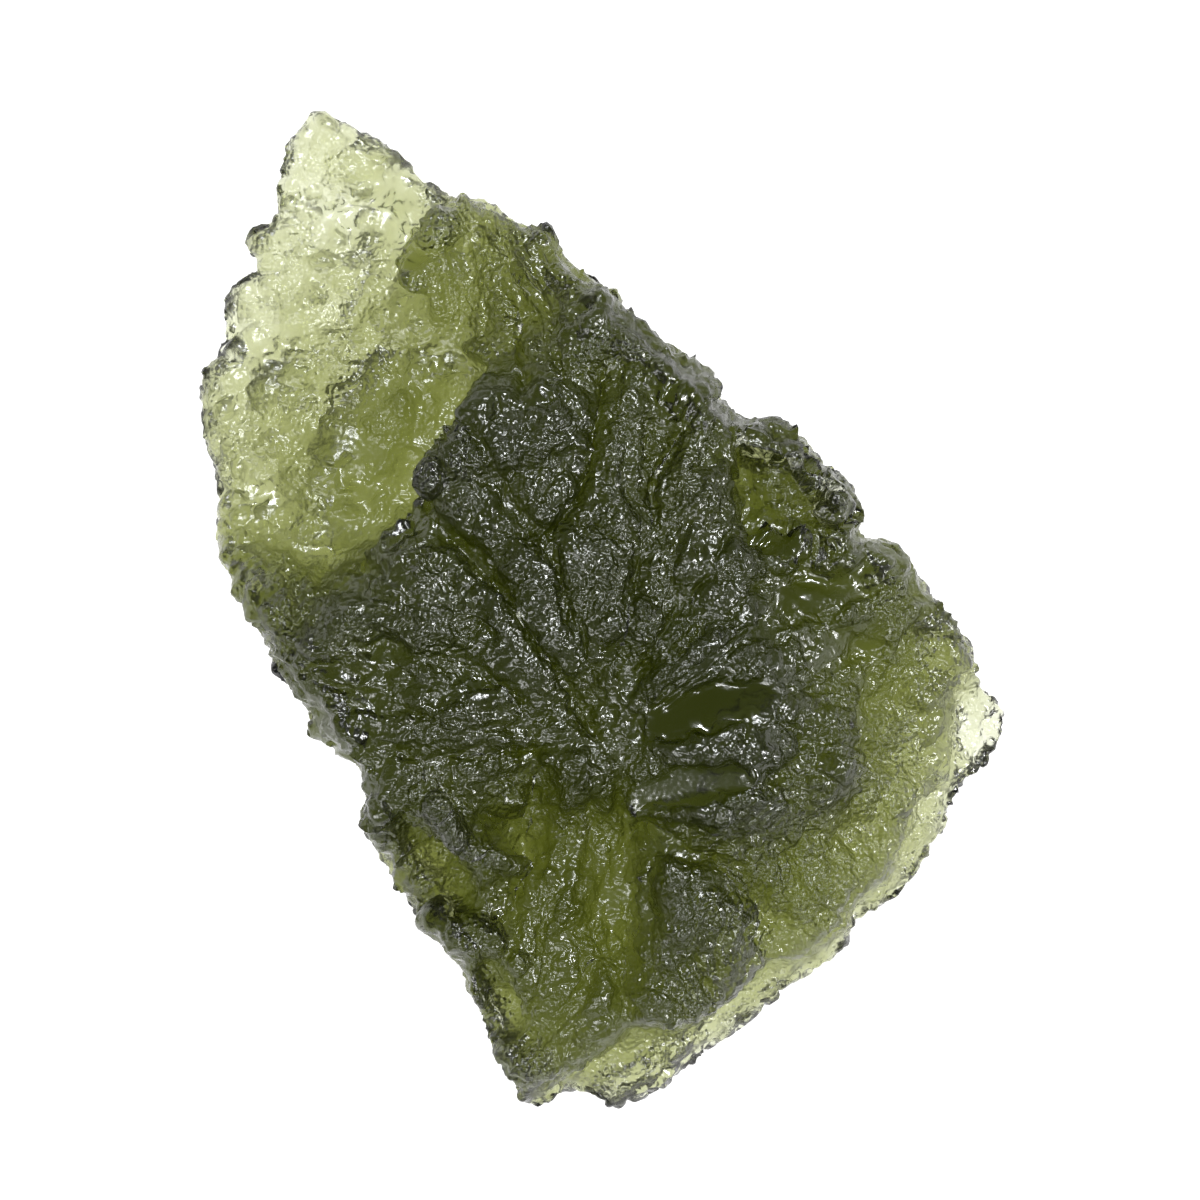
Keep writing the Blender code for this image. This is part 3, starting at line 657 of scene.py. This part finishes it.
class Value:
    """A shader number that takes part in plain arithmetic."""

    def __init__(self, tree, socket):
        self.tree = tree
        self.socket = socket

    def maths(self, operation, first, second):
        node = self.tree.nodes.new("ShaderNodeMath")
        node.operation = operation
        for number, value in enumerate((first, second)):
            if isinstance(value, Value):
                self.tree.links.new(value.socket, node.inputs[number])
            else:
                node.inputs[number].default_value = value
        return Value(self.tree, node.outputs[0])

    def __add__(self, other):
        return self.maths("ADD", self, other)

    def __radd__(self, other):
        return self.maths("ADD", other, self)

    def __sub__(self, other):
        return self.maths("SUBTRACT", self, other)

    def __rsub__(self, other):
        return self.maths("SUBTRACT", other, self)

    def __mul__(self, other):
        return self.maths("MULTIPLY", self, other)

    def __rmul__(self, other):
        return self.maths("MULTIPLY", other, self)

    def at_most(self, limit):
        return self.maths("MINIMUM", self, limit)


class Shader:
    """A material's node tree, built one node at a time."""

    def __init__(self, name):
        self.material = bpy.data.materials.new(name)
        self.material.use_nodes = True
        self.tree = self.material.node_tree
        self.principled = self.tree.nodes["Principled BSDF"]
        self.output = self.tree.nodes["Material Output"]

    def node(self, kind, settings, sockets):
        """One node: its settings first, then the values or links of its sockets."""
        made = self.tree.nodes.new(kind)
        for name, value in settings.items():
            setattr(made, name, value)
        for name, value in sockets.items():
            self.feed(made.inputs[name], value)
        return made

    def feed(self, socket, value):
        """Gives a socket a link or a plain value."""
        if isinstance(value, Value):
            value = value.socket
        if isinstance(value, bpy.types.NodeSocket):
            self.tree.links.new(value, socket)
        else:
            socket.default_value = value

    def value(self, socket):
        """A socket as a number for expressions."""
        return Value(self.tree, socket)

    def attribute(self, name):
        """A value that the mesh carries at each vertex."""
        return self.value(
            self.node("ShaderNodeAttribute", {"attribute_name": name}, {}).outputs["Fac"])

    def noise(self, vector, scale):
        """A noise value between 0 and 1."""
        made = self.node(
            "ShaderNodeTexNoise", {}, {"Vector": vector, "Scale": scale, "Detail": 0.0})
        return self.value(made.outputs["Fac"])


def glass_material(settings):
    """Olive green natural glass: clear where thin, nearly black where thick."""
    shader = Shader("moldavite_glass")
    place = shader.node("ShaderNodeTexCoord", {}, {}).outputs["Object"]
    etched = shader.attribute("etched")
    height = etched * shader.noise(place, settings.dots)
    bump = shader.node(
        "ShaderNodeBump", {},
        {"Strength": 1.0, "Distance": settings.dot_depth, "Height": height})
    spread = settings.etched_roughness - settings.smooth_roughness
    roughness = settings.smooth_roughness + (etched * ROUGHNESS_RISE).at_most(1.0) * spread
    roughness = roughness + shader.attribute("frosted") * settings.frosting
    principled = shader.principled
    shader.feed(principled.inputs["Roughness"], roughness)
    shader.feed(principled.inputs["Normal"], bump.outputs["Normal"])
    principled.inputs["Base Color"].default_value = (0.97, 0.98, 0.94, 1.0)
    principled.inputs["Metallic"].default_value = 0.0
    principled.inputs["IOR"].default_value = settings.ior
    principled.inputs["Transmission Weight"].default_value = 1.0
    absorption = shader.node(
        "ShaderNodeVolumeAbsorption", {},
        {"Color": (*settings.absorbed_colour, 1.0), "Density": settings.density})
    shader.tree.links.new(absorption.outputs["Volume"], shader.output.inputs["Volume"])
    return shader.material


def ground_material(settings):
    """White ground that glows a little, like a lit table."""
    shader = Shader("lit_ground")
    principled = shader.principled
    principled.inputs["Base Color"].default_value = (0.02, 0.02, 0.02, 1.0)
    principled.inputs["Roughness"].default_value = 0.9
    principled.inputs["Specular IOR Level"].default_value = 0.0
    principled.inputs["Emission Color"].default_value = (1.0, 1.0, 1.0, 1.0)
    principled.inputs["Emission Strength"].default_value = settings.ground_glow
    return shader.material


class MOLDAVITE_OT_stone(bpy.types.Operator):
    """Builds the etched, see-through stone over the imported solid"""

    bl_idname = "moldavite.stone"
    bl_label = "Stone"

    def execute(self, context):
        skin = context.scene.moldavite_skin
        stone = even_copy(skin.mesh_size)
        stone.name = "moldavite_glass_skin"
        soften(stone.data, SKIN_ROUNDS)
        surface = Surface(stone.data)
        soften(stone.data, SMOOTH_ROUNDS, surface.smooth > SMOOTH_ENOUGH)
        surface = Surface(stone.data)
        moved = surface.push(whole_relief(surface, skin))
        stone.data.vertices.foreach_set("co", (moved * MM).astype(np.float32).ravel())
        for name, values in (("etched", surface.etched), ("frosted", surface.shelf)):
            carried = stone.data.attributes.new(name, "FLOAT", "POINT")
            carried.data.foreach_set("value", values.astype(np.float32))
        thin_out(stone, skin.triangles)
        stone.data.shade_smooth()
        stone.data.materials.clear()
        stone.data.materials.append(glass_material(context.scene.moldavite_glass))
        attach(stone, BODY)
        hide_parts(NODE)
        return {"FINISHED"}


def add_lamp(name, place, size, power, colour):
    """A soft square lamp that points at the stone."""
    data = bpy.data.lights.new(name, "AREA")
    data.shape = "SQUARE"
    data.size = size
    data.energy = power
    data.color = colour
    lamp = bpy.data.objects.new(name, data)
    lamp.location = place
    lamp.rotation_euler = (-Vector(place)).to_track_quat("-Z", "Y").to_euler()
    bpy.context.scene.collection.objects.link(lamp)


class MOLDAVITE_OT_stage(bpy.types.Operator):
    """Sets the white ground, the lamps, the surroundings and the camera"""

    bl_idname = "moldavite.stage"
    bl_label = "Stage"

    def execute(self, context):
        studio = context.scene.moldavite_studio
        self.add_ground(studio)
        for lamp in LAMPS:
            add_lamp(*lamp)
        self.set_surroundings(context.scene, studio)
        self.add_camera(context.scene, studio)
        return {"FINISHED"}

    def add_ground(self, studio):
        """One flat pale square just under the stone."""
        work = bmesh.new()
        bmesh.ops.create_grid(work, x_segments=1, y_segments=1, size=0.5 * studio.ground_width)
        bmesh.ops.translate(work, verts=work.verts, vec=(0.0, 0.0, -GROUND_GAP * MM))
        mesh = bpy.data.meshes.new("ground")
        work.to_mesh(mesh)
        work.free()
        mesh.materials.append(ground_material(studio))
        ground = bpy.data.objects.new("ground", mesh)
        bpy.context.scene.collection.objects.link(ground)

    def set_surroundings(self, scene, studio):
        """Grey all round and darker overhead, so that the etched top keeps its contrast."""
        world = bpy.data.worlds.new("studio")
        world.use_nodes = True
        tree = world.node_tree
        place = tree.nodes.new("ShaderNodeTexCoord")
        parts = tree.nodes.new("ShaderNodeSeparateXYZ")
        ramp = tree.nodes.new("ShaderNodeValToRGB")
        stops = ((0.12, studio.horizon_grey), (0.5, studio.overhead_grey))
        for stop, (position, grey) in zip(ramp.color_ramp.elements, stops):
            stop.position = position
            stop.color = (grey, grey, grey, 1.0)
        tree.links.new(place.outputs["Generated"], parts.inputs["Vector"])
        tree.links.new(parts.outputs["Z"], ramp.inputs["Fac"])
        tree.links.new(ramp.outputs["Color"], tree.nodes["Background"].inputs["Color"])
        scene.world = world
        scene.view_settings.view_transform = "Standard"

    def add_camera(self, scene, studio):
        """Straight above the stone, with the photograph's upright."""
        low, high = CAD_BOX
        data = bpy.data.cameras.new("camera")
        data.lens = studio.lens
        data.clip_start = 0.01
        data.clip_end = 20.0
        distance = studio.frame_width * data.lens / data.sensor_width
        camera = bpy.data.objects.new("camera", data)
        middle = 0.5 * (low.z + high.z)
        x, y = CAMERA_PLAN
        camera.location = (x * MM, y * MM, middle + distance)
        scene.collection.objects.link(camera)
        scene.camera = camera


class MOLDAVITE_PT_panel(bpy.types.Panel):
    """The stone's sizes and the buttons that build it"""

    bl_idname = "MOLDAVITE_PT_panel"
    bl_label = "Moldavite"
    bl_space_type = "VIEW_3D"
    bl_region_type = "UI"
    bl_category = "Moldavite"

    def draw(self, context):
        scene = context.scene
        for settings in (scene.moldavite_skin, scene.moldavite_glass, scene.moldavite_studio):
            box = self.layout.box()
            for name in settings.bl_rna.properties.keys():
                if name not in {"rna_type", "name"}:
                    box.prop(settings, name)
        self.layout.operator(MOLDAVITE_OT_stone.bl_idname)
        self.layout.operator(MOLDAVITE_OT_stage.bl_idname)


SETTINGS = {
    "moldavite_skin": SkinSettings,
    "moldavite_glass": GlassSettings,
    "moldavite_studio": StudioSettings,
}
CLASSES = (*SETTINGS.values(), MOLDAVITE_OT_stone, MOLDAVITE_OT_stage, MOLDAVITE_PT_panel)


def register():
    """Registers the classes and hangs the settings on the scene."""
    for made in CLASSES:
        bpy.utils.register_class(made)
    for name, group in SETTINGS.items():
        setattr(bpy.types.Scene, name, bpy.props.PointerProperty(type=group))


def unregister():
    """Takes the settings and the classes away again."""
    for name in SETTINGS:
        delattr(bpy.types.Scene, name)
    for made in reversed(CLASSES):
        bpy.utils.unregister_class(made)


def main():
    """Builds the stone and its stage."""
    register()
    bpy.ops.moldavite.stone()
    bpy.ops.moldavite.stage()


if __name__ == "__main__":
    main()
